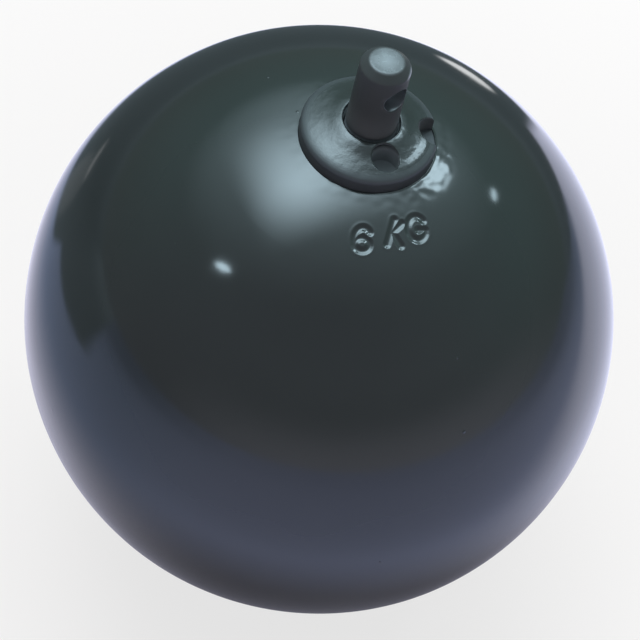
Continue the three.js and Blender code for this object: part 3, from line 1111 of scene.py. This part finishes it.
@dataclass(frozen=True)
class FlangedPlug:
    """The plug that is screwed into the ball and carries the swivel.

    Attributes:
        flange_radius: Radius of the flange.
        body_radius: Radius over the thread.
        seat_height: Height of the underside of the flange.
        mouth_radius: Radius of the opening round the spindle.
        crest_width: Width of the rounding from the mouth up to the crest of the lip.
        crest_height: Height of this rounding.
        tilts: Outward tilt of the painted face in degrees, at radii from the crest out.
        bead_height: Height of the bead of paint on one side of the face.
        bead_reaches: Where the bead starts, is highest and ends, from the axis.
        bead_azimuth: Its middle, in degrees.
        bead_spread: How far it runs to each side, in degrees.
        edge: Radius of the rounding from the last of the tilts to the side of the flange.
        face_steps: Steps in the outline of the face.
        edge_steps: Steps in the rounding of the edge.
        flare_steps: Steps in the mouths of the hole and the notch.
        relief_width: Width of the groove between the thread and the flange.
        relief_depth: Depth of this groove.
        chamfer: Chamfer at the inner end of the thread.
        race_recess: Depth of the seat of the upper race.
        recess_radius: Radius of this seat.
        pocket_radius: Radius of the pocket for the bush and the seal.
        hole_radius: Radius of the spanner hole.
        hole_reach: Distance of its middle from the axis.
        hole_azimuth: Its direction, in degrees.
        hole_end: Height of its floor.
        notch_radius: Radius of the notch in the rim.
        notch_reach: Distance of its middle from the axis.
        notch_azimuth: Its direction, in degrees.
        notch_skin: What is left of the flange under it.
        hole_edge: Rounding at the mouths of the hole and the notch.
        flare_room: How far a cutter stands out over the face.
    """

    flange_radius: float = 12.0
    body_radius: float = 10.8
    seat_height: float = SEAT_HEIGHT
    mouth_radius: float = 5.0
    crest_width: float = 0.22
    crest_height: float = 0.25
    tilts: tuple[Point, ...] = (
        (5.22, 0.0), (5.34, 10.0), (5.45, 15.5), (5.95, 18.3), (6.25, 21.0), (6.6, 22.0), (7.2, 21.5),
        (8.2, 18.5), (9.0, 17.3), (10.4, 17.3), (11.1, 22.0), (11.5, 30.0),
    )
    bead_height: float = 0.052
    bead_reaches: tuple[float, ...] = (8.9, 10.2, 11.1)
    bead_azimuth: float = -17.0
    bead_spread: float = 42.0
    edge: float = 1.0
    face_steps: int = 36
    edge_steps: int = 12
    flare_steps: int = 6
    relief_width: float = 1.6
    relief_depth: float = 0.9
    chamfer: float = 0.8
    race_recess: float = 1.0
    recess_radius: float = 9.525
    pocket_radius: float = 6.55
    hole_radius: float = 2.38
    hole_reach: float = 7.85
    hole_azimuth: float = -60.0
    hole_end: float = 57.3
    notch_radius: float = 2.9
    notch_reach: float = 11.4
    notch_azimuth: float = 14.5
    notch_skin: float = 0.1
    hole_edge: float = 0.3
    flare_room: float = 1.0

    def outline(self) -> Outline:
        """The section of the plug, as a closed loop.

        Returns:
            Radius and height of each point.
        """
        end = DATUM.low("swivel_plug")
        shelf = DATUM.high("dust_seal")
        recess = end + self.race_recess
        face = self.face()
        crest, shoulder = face[0], face[-1]
        tilt = self.tilts[-1][1]
        drop = self.edge * math.cos(math.radians(tilt))
        root = self.body_radius - self.relief_depth
        inner = (crest[0], crest[1] - self.crest_height)
        outer = (self.flange_radius - self.edge, shoulder[1] - drop)
        loop = [
            (self.recess_radius, end),
            (self.body_radius - self.chamfer, end),
            (self.body_radius, end + self.chamfer),
            (self.body_radius, self.seat_height - self.relief_width - self.relief_depth),
            (root, self.seat_height - self.relief_width),
            (root, self.seat_height),
            (self.flange_radius, self.seat_height),
            *arc(outer, self.edge, self.edge, 0, 90 - tilt, self.edge_steps),
            *reversed(face[1:-1]),
            *arc(inner, self.crest_width, self.crest_height, 90, 180, ROUND_STEPS),
            (self.mouth_radius, shelf),
            (self.pocket_radius, shelf),
            (self.pocket_radius, recess),
            (self.recess_radius, recess),
        ]
        return [*loop, loop[0]]

    def face(self) -> Outline:
        """The painted face from the crest of the lip out to its shoulder, found from its tilts.

        Returns:
            Radius and height of each point.
        """
        radii, tilts = zip(*self.tilts)
        points = [(radii[0], DATUM.high("swivel_plug"))]
        for inner, outer in pairwise(np.linspace(radii[0], radii[-1], self.face_steps + 1)):
            slope = math.radians(float(np.interp((inner + outer) / 2, radii, tilts)))
            points.append((float(outer), points[-1][1] - float(outer - inner) * math.tan(slope)))
        return points

    def raise_bead(self, plug: Piece) -> None:
        """Raise the bead of paint on the face.

        Args:
            plug: The turned plug, not cut yet.
        """
        start, peak, end = self.bead_reaches
        inner, outer = self.tilts[0][0], self.tilts[-1][0]
        for vertex in plug.data.vertices:
            reach = math.hypot(vertex.co.x, vertex.co.y) / MM
            if DATUM.height(vertex.co.z) < self.seat_height + 1 or not inner < reach < outer:
                continue
            azimuth = math.degrees(math.atan2(vertex.co.y, vertex.co.x))
            side = np.array(abs(azimuth - self.bead_azimuth))
            at = np.array(reach)
            bead = smooth_step(at, start, peak) * (1 - smooth_step(at, peak, end))
            bead *= 1 - smooth_step(side, self.bead_spread * 0.5, self.bead_spread)
            vertex.co.z += self.bead_height * float(bead) * MM

    def mouthed(self, name: str, radius: float, low: float, pointed: bool, middle: Vector) -> Piece:
        """A cutter for a hole from the face down, whose mouth flares as painted edges do.

        Args:
            name: Name of the cutter.
            radius: Radius of the hole.
            low: Height of its floor.
            pointed: Whether a drill's point goes on below the floor.
            middle: Its middle, from the axis of the plug.

        Returns:
            The cutter, with a flare that follows the slope of the face.
        """
        crest = DATUM.high("swivel_plug")
        start = (0.0, low - drill_point(radius)) if pointed else (0.0, low)
        edge = self.hole_edge
        flare = arc((radius + edge, crest - edge), edge, edge, 180, 100, self.flare_steps)
        wide, top = flare[-1][0] + edge, crest + self.flare_room
        cutter = turned(name, [start, (radius, low), *flare, (wide, top), (0.0, top)], Step.HOLE)
        shift(cutter, middle)
        radii, heights = zip(*self.face())
        for vertex in cutter.data.vertices:
            if DATUM.height(vertex.co.z) > crest - 2 * edge:
                reach = math.hypot(vertex.co.x, vertex.co.y) / MM
                vertex.co.z += (float(np.interp(reach, radii, heights)) - crest) * MM
        return cutter

    def hollows(self) -> tuple[Hollow, ...]:
        """The mouth, the spanner hole and the notch, for the paint that lies in them, dusty and paler as
        painted fill light.

        Returns:
            The three.
        """
        return (
            Hollow(0.0, 0.0, self.mouth_radius, 1.0),
            Hollow(self.hole_azimuth, self.hole_reach, self.hole_radius, 0.42),
            Hollow(self.notch_azimuth, self.notch_reach, self.notch_radius, 0.07),
        )

    def build(self, paint: Finish) -> Piece:
        """Model the plug, drill its face and notch its rim.

        Args:
            paint: The finish of the plug.

        Returns:
            The piece.
        """
        plug = turned("flanged_plug", self.outline(), Step.PLUG)
        axis = DATUM.place(0.0, 0.0)
        by_hole = DATUM.place(self.hole_reach, 0.0, self.hole_azimuth) - axis
        by_notch = DATUM.place(self.notch_reach, 0.0, self.notch_azimuth) - axis
        hole = self.mouthed("hole", self.hole_radius, self.hole_end, True, by_hole)
        notch = self.mouthed("notch", self.notch_radius, self.seat_height + self.notch_skin, False, by_notch)
        self.raise_bead(plug)
        cut(plug, hole, notch)
        smooth(plug)
        paint.dress(plug)
        return hang(plug, "head", "plug_paint", "swivel_plug")


@dataclass(frozen=True)
class EyedSpindle:
    """The spindle that turns in the plug, with the wire eye across it.

    Attributes:
        radius: Radius in the plug.
        taper: Lost in radius from the face of the plug to the end.
        flat: Radius of the flat of the end.
        bend: Radius of the bend from the flat to the chamfer round it.
        chamfer_tilt: Slope of that chamfer, in degrees.
        shoulder: Radius of the bend from the chamfer to the side.
        eye_radius: Radius of the eye at its waist.
        eye_flare: Radius of the rounding at both of its mouths.
        eye_azimuth: Its direction, in degrees.
        shank_radius: Radius from the lower race down.
        chamfer: Chamfer at the inner end.
        pin_hole_radius: Radius of the hole for the split pin.
        pin_azimuth: Direction of this hole, in degrees.
        pin_rise: Its height over the inner end.
        plug_face: Height at which the taper starts.
        side_steps: Steps along the tapered side.
        chamfer_steps: Steps across the chamfer round the end.
    """

    radius: float = 4.5
    taper: float = 0.15
    flat: float = 2.6
    bend: float = 0.75
    chamfer_tilt: float = 42.0
    shoulder: float = 0.6
    eye_radius: float = 2.4
    eye_flare: float = 0.5
    eye_azimuth: float = -39.0
    shank_radius: float = 4.0
    chamfer: float = 0.8
    pin_hole_radius: float = 1.1
    pin_azimuth: float = 30.0
    pin_rise: float = 2.5
    plug_face: float = 60.095
    side_steps: int = 10
    chamfer_steps: int = 6

    def eye_height(self) -> float:
        """Height of the eye, which is the origin of the frame."""
        return DATUM.height(0.0)

    def outline(self) -> Outline:
        """The section from the inner end up to the middle of the outer end.

        Returns:
            Radius and height of each point.
        """
        low, high = DATUM.low("spindle"), DATUM.high("spindle")
        step = DATUM.high("shaft_race")
        wide = self.radius - self.taper
        steep = 90 - self.chamfer_tilt
        inner = arc((self.flat, high - self.bend), self.bend, self.bend, steep, 90, ROUND_STEPS)
        outer = arc((wide - self.shoulder, 0.0), self.shoulder, self.shoulder, 0, steep, ROUND_STEPS)
        drop = (outer[-1][0] - inner[0][0]) * math.tan(math.radians(self.chamfer_tilt))
        lift = inner[0][1] - drop - outer[-1][1]
        outer = [(r, z + lift) for r, z in outer]
        return [
            (0.0, low),
            (self.shank_radius - self.chamfer, low),
            (self.shank_radius, low + self.chamfer),
            (self.shank_radius, step),
            (self.radius, step),
            *line((self.radius, self.plug_face), outer[0], self.side_steps),
            *outer[1:],
            *line(outer[-1], inner[0], self.chamfer_steps)[1:],
            *inner[1:],
            (self.flat / 2, high),
            (0.0, high),
        ]

    def rod_across(self, name: str, outline: Outline, height: float, azimuth: float) -> Piece:
        """A cutter that lies across the axis.

        Args:
            name: Name of the cutter.
            outline: Its radius along its length, from its middle.
            height: Height at which it lies.
            azimuth: Direction of its length, in degrees.

        Returns:
            The cutter.
        """
        rod = turned(name, outline, Step.HOLE)
        rod.data.transform(Matrix.Translation(-DATUM.place(0, 0)))
        return shift(rod, DATUM.place(0.0, height), 90.0, azimuth)

    def eye_cutter(self) -> Piece:
        """A rod across the axis that flares at both ends, as a drilled and rounded eye does.

        Returns:
            The cutter.
        """
        wide = self.eye_radius + self.eye_flare
        straight = self.radius - self.eye_flare
        far = self.radius + CUTTER_ROOM
        outline = [
            (0.0, -far),
            (wide, -far),
            *arc((wide, -straight), self.eye_flare, self.eye_flare, 270, 180, ROUND_STEPS),
            *arc((wide, straight), self.eye_flare, self.eye_flare, 180, 90, ROUND_STEPS),
            (wide, far),
            (0.0, far),
        ]
        return self.rod_across("eye", outline, self.eye_height(), self.eye_azimuth)

    def pin_cutter(self) -> Piece:
        """A plain rod across the shank for the split pin.

        Returns:
            The cutter.
        """
        far = self.radius + CUTTER_ROOM
        outline = [(0.0, -far), (self.pin_hole_radius, -far), (self.pin_hole_radius, far), (0.0, far)]
        return self.rod_across("pin_hole", outline, DATUM.low("spindle") + self.pin_rise, self.pin_azimuth)

    def build(self, steel: Finish) -> Piece:
        """Model the spindle and drill it.

        Args:
            steel: The finish of the spindle.

        Returns:
            The piece.
        """
        spindle = turned("eyed_spindle", self.outline(), Step.SPINDLE)
        cut(spindle, self.eye_cutter(), self.pin_cutter())
        smooth(spindle)
        steel.dress(spindle)
        return hang(spindle, "swivel", "spindle_steel", "spindle")


@dataclass(frozen=True)
class Window:
    """A soft light overhead, laid out on a level ceiling one unit over the ball.

    Attributes:
        strength: Brightness at its middle.
        centre: Its middle, east and north.
        turn: Turn of its long side from east to north, in degrees.
        half_length: Half its long side.
        half_width: Half its short side.
        left: Softness of its left edge.
        right: Softness of its right edge.
        near: Softness of its near edge.
        far: Softness of its far edge.
        lengthwise: Change of brightness along the long side.
        crosswise: Change of brightness along the short side.
    """

    strength: float = 6.4
    centre: Point = (-0.22, 0.5)
    turn: float = 36.0
    half_length: float = 0.43
    half_width: float = 0.32
    left: float = 0.26
    right: float = 0.07
    near: float = 0.25
    far: float = 0.66
    lengthwise: float = -0.9
    crosswise: float = -0.8

    def light(self, bench: Bench, east: Term, north: Term) -> Term:
        """Its brightness at a place on the ceiling.

        Args:
            bench: The bench of the tree it is added to.
            east: Distance to the east.
            north: Distance to the north.

        Returns:
            The brightness, 0 outside it.
        """
        length, width = bench.aligned(east, north, self.centre, self.turn)
        edges = (
            (length, self.half_length, self.left),
            (length * -1, self.half_length, self.right),
            (width, self.half_width, self.near),
            (width * -1, self.half_width, self.far),
        )
        tilted = 1 + length * self.lengthwise + width * self.crosswise
        total = bench.math("MAXIMUM", tilted, 0.0) * self.strength
        for distance, half, soft in edges:
            total = total * bench.ramp(distance, -half - soft, -half + soft)
        return total


@dataclass(frozen=True)
class Oval:
    """A soft oval of light on a level surface, in that surface's own units.

    Attributes:
        strength: Brightness at its middle.
        centre: Its middle, east and north.
        half_length: Half its long side.
        half_width: Half its short side.
        turn: Turn of its long side from east to north, in degrees.
    """

    strength: float
    centre: Point
    half_length: float
    half_width: float
    turn: float

    def light(self, bench: Bench, east: Term, north: Term) -> Term:
        """Its brightness at a place on the surface.

        Args:
            bench: The bench of the tree it is added to.
            east: Distance to the east.
            north: Distance to the north.

        Returns:
            The brightness, 0 outside it.
        """
        length, width = bench.aligned(east, north, self.centre, self.turn)
        length, width = length / self.half_length, width / self.half_width
        return bench.ramp(length * length + width * width, 0.3, 1.0, self.strength, 0.0)


@dataclass(frozen=True)
class Lamp:
    """A small oval lamp that faces the ball and shows as a glint.

    Attributes:
        azimuth: Where it hangs round the ball, in degrees.
        elevation: Its height over the ball's centre, in degrees.
        length: Long side.
        width: Short side.
        spin: Turn of its long side from level, in degrees.
        power: In watts.
        distance: From the centre of the ball.
    """

    azimuth: float
    elevation: float
    length: float
    width: float
    spin: float
    power: float
    distance: float = 1200.0

    def hang(self, name: str, colour: Colour) -> None:
        """Hang the lamp where the camera doesn't see it.

        Args:
            name: Name of the lamp.
            colour: Colour of its light.
        """
        data = bpy.data.lights.new(name, "AREA")
        data.shape = "ELLIPSE"
        data.size, data.size_y = self.length * MM, self.width * MM
        data.energy = self.power
        data.color = colour
        tilt, turn, spin = (math.radians(a) for a in (self.elevation, self.azimuth, self.spin))
        place = DATUM.place(self.distance * math.cos(tilt), self.distance * math.sin(tilt), self.azimuth)
        back = (place - DATUM.place(0, 0)).normalized()
        level = Vector((-math.sin(turn), math.cos(turn), 0.0))
        side = level * math.cos(spin) + back.cross(level) * math.sin(spin)
        lamp = bpy.data.objects.new(name, data)
        lamp.visible_camera = False
        stand(lamp, place, side, back)


@dataclass(frozen=True)
class Studio:
    """A pale floor, soft light from above and a camera where the photograph was taken.

    Attributes:
        distance: From the centre of the ball to the lens.
        elevation: Of the camera above the floor, in degrees.
        roll: Of the camera, in degrees.
        lens: Focal length.
        sensor: Width of the sensor.
        clip_start: Nearest distance that the camera sees, in metres.
        clip_end: Furthest distance that it sees, in metres.
        aim_right: Where it looks, to the right of the centre of the ball.
        aim_up: Where it looks, over that centre.
        floor_radius: Radius of the floor.
        floor_corners: Corners of its rim.
        floor_colour: Of the floor as it lights and shades.
        floor_near: Painted colour of the floor close to the ball, where the paint mirrors it.
        floor_far: Painted colour of the floor further out, where it is mirrored.
        floor_glow: Painted colour of the bright place on it, where it is mirrored.
        floor_beyond: Painted shade of the floor behind, where it is mirrored.
        floor_side: Painted colour of the floor further out on one side, where it is mirrored.
        front_azimuth: Where the painted shade of the ball on the mirrored floor is deepest, in degrees.
        side_azimuth: That side, in degrees.
        bright_place: The painted bright place on the right of the mirrored floor.
        shades: The parts of the mirrored floor that are painted dark, each by its edges: the azimuth square
            to
        the edge, and how far out along it the painted shade starts and is full.
        strips: Painted bright strips on the painted shade of the mirrored floor.
        lamps: Small lamps that show as glints.
        window: The large soft light overhead.
        pane: The small bright light beside it.
        haze: Strength of the broad glow round the window.
        haze_centre: Middle of this glow on the ceiling, east and north.
        haze_reach: How far it goes on the ceiling.
        light_colour: Of the window, the pane and the lamps.
        wall: Of the near side of the room, as the paint mirrors it.
        wall_front: Of the part of it that lies toward the side azimuth.
        wall_foot: Of the foot of that part.
        sky: Of the far side of the room, higher up.
        skyline: Of the far side of the room, low down.
        backdrop_share: Share of the plain white backdrop in what the paint mirrors of the room.
    """

    distance: float = 348.0
    elevation: float = 55.1
    roll: float = 14.8
    lens: float = 98.1
    sensor: float = 36.0
    clip_start: float = 0.01
    clip_end: float = 20.0
    aim_right: float = 0.2
    aim_up: float = -0.16
    floor_radius: float = 3000.0
    floor_corners: int = 96
    floor_colour: Colour = (0.76, 0.55, 0.49)
    floor_near: Colour = (1.0, 1.0, 1.25)
    floor_far: Colour = (0.46, 0.57, 0.87)
    floor_glow: Colour = (1.22, 1.26, 1.6)
    floor_beyond: Colour = (0.09, 0.115, 0.13)
    floor_side: Colour = (0.66, 0.745, 1.12)
    front_azimuth: float = -66.0
    side_azimuth: float = -50.0
    bright_place: Oval = Oval(0.95, (150.0, 170.0), 330.0, 190.0, 50.0)
    shades: tuple[tuple[tuple[float, float, float], ...], ...] = (
        ((166.0, 206.0, 226.0), (107.0, -30.0, 10.0)),
        ((110.0, 143.0, 158.0), (152.0, 10.0, 28.0)),
        ((135.0, 140.0, 153.0), (90.0, 42.0, 52.0)),
        ((111.0, 238.0, 262.0),),
    )
    strips: tuple[Oval, ...] = (
        Oval(1.9, (62.0, 295.0), 60.0, 28.0, 68.0),
        Oval(0.42, (-228.0, 146.0), 32.0, 16.0, 84.0),
        Oval(0.1, (-182.0, 100.0), 70.0, 30.0, 150.0),
    )
    lamps: tuple[Lamp, ...] = (
        Lamp(-152.7, 46.0, 140.0, 50.0, 36.0, 0.22),
        Lamp(42.3, 30.4, 95.0, 42.0, -29.0, 0.08),
    )
    window: Window = Window()
    pane: Oval = Oval(9.6, (0.53, 0.74), 0.34, 0.115, 68.0)
    haze: float = 1.5
    haze_centre: Point = (-0.27, 1.0)
    haze_reach: float = 1.68
    light_colour: Colour = (0.755, 1.0, 1.13)
    wall: Colour = (0.14, 0.15, 0.19)
    wall_front: Colour = (0.205, 0.235, 0.28)
    wall_foot: Colour = (0.56, 0.58, 0.7)
    sky: Colour = (0.15, 0.325, 0.31)
    skyline: Colour = (0.045, 0.1, 0.085)
    backdrop_share: float = 0.1

    def place_camera(self) -> None:
        """Stand the camera at the photograph's viewing angle."""
        tilt, roll = math.radians(self.elevation), math.radians(self.roll)
        back = Vector((0, -math.cos(tilt), math.sin(tilt)))
        level = Vector((0, math.sin(tilt), math.cos(tilt)))
        right = Vector((math.cos(roll), 0, 0)) + level * math.sin(roll)
        up = level * math.cos(roll) - Vector((math.sin(roll), 0, 0))
        centre = DATUM.place(0, 0)
        aim = centre + (right * self.aim_right + up * self.aim_up) * MM
        place = centre + back * self.distance * MM
        behind = (place - aim).normalized()
        right = up.cross(behind).normalized()
        data = bpy.data.cameras.new("camera")
        data.lens = self.lens
        data.sensor_width = self.sensor
        data.clip_start = self.clip_start
        data.clip_end = self.clip_end
        camera = bpy.data.objects.new("camera", data)
        stand(camera, place, right, behind)
        bpy.context.scene.camera = camera

    def lay_floor(self) -> None:
        """Lay a round pale floor under the ball, whose look in reflections is painted light and shade."""
        clear_selection()
        bottom = DATUM.place(0.0, -DATUM.ball_radius)
        radius = self.floor_radius * MM
        bpy.ops.mesh.primitive_circle_add(
            vertices=self.floor_corners, radius=radius, fill_type="NGON", location=bottom
        )
        floor = settle(bpy.context.object, "floor")
        made = bpy.data.materials.new("pale_floor")
        made.use_nodes = True
        bench = Bench(made.node_tree)
        place = bench.place_mm()
        camera, mirrored = bench.rays()
        east, north, _ = bench.axes(place)
        out = bench.span(east, north)
        # In reflections the floor only glows: its light and shade there are painted, not lit.
        tint = bench.mix(mirrored, WHITE, self.painted_floor_reflection(bench, east, north, out))
        matt = bench.term("ShaderNodeBsdfDiffuse", 0, values={0: (*self.floor_colour, 1.0)})
        glow = bench.term("ShaderNodeEmission", 0, values={"Color": tint, "Strength": 1.0})
        share = camera * bench.ramp(out, 60.0, 260.0, 0.75, 1.0) + mirrored
        mixed = bench.term("ShaderNodeMixShader", 0, values={0: share, 1: matt, 2: glow})
        bench.node("ShaderNodeOutputMaterial", values={"Surface": mixed})
        floor.data.materials.append(made)

    def painted_floor_reflection(self, bench: Bench, east: Term, north: Term, out: Term) -> Term:
        """Colour that the floor glows with where the paint mirrors it, a painted map of light and shade.

        Args:
            bench: The bench of the floor's tree.
            east: Distance to the east of the ball.
            north: Distance to the north of it.
            out: Distance from the point it stands on.

        Returns:
            Pale close to the ball but with painted shade in front, a painted bright place on the right and
            painted shade behind.
        """
        # Painted shade in front of the ball, painted light on the right and in the strips, painted shade
        # behind the lines.
        front = bench.along(east, north, self.front_azimuth) / bench.math("MAXIMUM", out, 1.0)
        shade = bench.ramp(front, -0.25, 0.95, 1.0, 0.2)
        shade = shade * bench.ramp(out, 42.0, 90.0, 0.55 + front * 0.25, 1.0)
        reach = bench.ramp(out, 67 - bench.math("MINIMUM", front, 0.0) * 35, 150 - front * 24)
        fade = 1 - bench.ramp(out, 200.0, 1000.0) * bench.ramp(front, 0.1, 0.9, 0.55, 0.13)
        side = bench.along(east, north, self.side_azimuth) / bench.math("MAXIMUM", out, 1.0)
        wide = bench.mix(bench.ramp(side, -0.2, 0.8), self.floor_far, self.floor_side)
        lit = bench.mix(reach, bench.scaled(self.floor_near, shade), bench.scaled(wide, fade))
        bright = self.bright_place.light(bench, east, north) * bench.ramp(out, 60.0, 125.0)
        lit = bench.mix(bright * bench.ramp(north, -100.0, 30.0, 0.3, 1.0), lit, self.floor_glow)
        beyond: Value = 0.0
        for edges in self.shades:
            part: Value = 1.0
            for turn, low, high in edges:
                part = bench.ramp(bench.along(east, north, turn), low, high) * part
            beyond = bench.math("MAXIMUM", beyond, part)
        rise = bench.ramp(out, 300.0, 1800.0, 1.0, 1.9) * bench.ramp(north, 0.0, 200.0, 1.7, 1.0)
        floor = bench.mix(beyond, lit, bench.scaled(self.floor_beyond, rise))
        for strip in self.strips:
            floor = bench.added(floor, bench.scaled(WHITE, strip.light(bench, east, north)))
        return floor

    def hang_lamps(self) -> None:
        """Hang the small lamps round the ball, where only their glints and soft light are seen."""
        for number, lamp in enumerate(self.lamps, 1):
            lamp.hang(f"lamp_{number}", self.light_colour)

    def hang_light(self) -> None:
        """Light the set from all round, with one large soft window overhead."""
        world = bpy.data.worlds.new("studio")
        bpy.context.scene.world = world
        world.use_nodes = True
        bench = Bench(world.node_tree)
        way = bench.term("ShaderNodeTexCoord", "Generated")
        east, north, high = bench.axes(way)
        rise = bench.math("MAXIMUM", high, 0.05)
        across, along = east / rise, north / rise
        lit = self.window.light(bench, across, along) + self.pane.light(bench, across, along)
        lit = lit * bench.ramp(high, 0.1, 0.3)
        aside, beyond = across - self.haze_centre[0], along - self.haze_centre[1]
        spread = bench.span(aside, beyond)
        lit = lit + bench.ramp(spread, 0.0, self.haze_reach, self.haze, 0.0)
        sky = bench.mix(bench.ramp(high, -0.05, 0.49), self.skyline, self.sky)
        front = bench.along(east, north, self.side_azimuth)
        facing = bench.ramp(front, -0.1, 0.8) * bench.ramp(high, 0.5, 0.9, 1.0, 0.0)
        low = bench.ramp(front, 0.0, 0.9) * bench.ramp(high, 0.0, 0.36, 1.0, 0.0)
        wall = bench.mix(low, bench.mix(facing, self.wall, self.wall_front), self.wall_foot)
        room = bench.mix(bench.ramp(north, -0.7, 0.84), wall, sky)
        light = bench.added(bench.scaled(self.light_colour, lit), room)
        camera, mirrored = bench.rays()
        studio = bench.term("ShaderNodeBackground", 0, values={"Color": light, "Strength": 1.0})
        backdrop = bench.term("ShaderNodeBackground", 0, values={"Color": (*WHITE, 1.0), "Strength": 1.0})
        share = camera + mirrored * self.backdrop_share
        mixed = bench.term("ShaderNodeMixShader", 0, values={0: share, 1: studio, 2: backdrop})
        bench.node("ShaderNodeOutputWorld", values={"Surface": mixed})


ENAMEL = (0.025, 0.0258, 0.0243)
ENAMEL_SHADE = (0.0227, 0.0235, 0.022)
NIBS = (
    (42.2, -51.4, 0.32),
    (55.5, -52.6, 0.4),
    (82.1, -67.9, 0.38),
    (86.0, -138.7, 0.42),
    (22.8, 151.7, 0.35),
    (12.9, 171.7, 0.3),
)
HEAD_PAINT = GlossPaint("head_enamel", ENAMEL, 0.1, ENAMEL_SHADE, nibs=NIBS)
BEARING_STEEL = TurnedMetal("bearing_steel", (0.62, 0.64, 0.66), 0.1, (0.42, 0.42, 0.42), 0.0004)
PLAIN_STEEL = TurnedMetal("plain_steel", (0.48, 0.49, 0.5), 0.24, (0.24, 0.22, 0.2))
BUSH_BRONZE = TurnedMetal("bush_bronze", (0.45, 0.25, 0.09), 0.22, (0.24, 0.12, 0.05))
CAGE_BRASS = TurnedMetal("cage_brass", (0.58, 0.42, 0.14), 0.2, (0.34, 0.23, 0.09))
SEAL_RUBBER = SealRubber("seal_rubber", (0.012, 0.012, 0.013), 0.6, (0.05, 0.05, 0.052))


def dress_inner_nodes() -> None:
    """Give each CAD node inside the plug the finish of what it is made of."""
    finishes = {
        "dust_seal": SEAL_RUBBER,
        "spindle_bush": BUSH_BRONZE,
        "housing_race": BEARING_STEEL,
        "shaft_race": BEARING_STEEL,
        "ball_cage": CAGE_BRASS,
        "thrust_washer": PLAIN_STEEL,
        "castle_nut": PLAIN_STEEL,
        "split_pin": PLAIN_STEEL,
    }
    finishes |= {name: BEARING_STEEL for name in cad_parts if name.startswith("bearing_ball")}
    for name, finish in finishes.items():
        finish.dress(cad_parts[name])


def main() -> None:
    """Build every piece, then the studio round them."""
    logging.basicConfig(level=logging.INFO, format="%(message)s")
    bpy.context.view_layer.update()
    spindle = EyedSpindle()
    steel = BlackedSteel(
        name="blackened_steel",
        colour=(0.051, 0.05, 0.048),
        roughness=0.38,
        bare=(0.32, 0.32, 0.325),
        polished=(0.4, 0.4, 0.41),
        dust_and_fill_light=(0.45, 0.45, 0.47),
        eye_radius=spindle.eye_radius,
        eye_azimuth=spindle.eye_azimuth,
        end_rise=DATUM.high("spindle") - spindle.eye_height(),
        mouth_rise=DATUM.high("swivel_plug") - spindle.eye_height(),
    )
    plug = FlangedPlug()
    plug_paint = GlossPaint(
        name="plug_enamel",
        colour=ENAMEL,
        roughness=0.17,
        shade=ENAMEL_SHADE,
        peel=0.0016,
        wave=0.012,
        hollows=plug.hollows(),
        film_height=60.0,
        mottle=0.09,
    )
    CastBall().build(HEAD_PAINT)
    plug.build(plug_paint)
    spindle.build(steel)
    dress_inner_nodes()
    studio = Studio()
    studio.lay_floor()
    studio.hang_light()
    studio.hang_lamps()
    studio.place_camera()
    bpy.context.scene.view_settings.view_transform = "Standard"


if __name__ == "__main__":
    main()
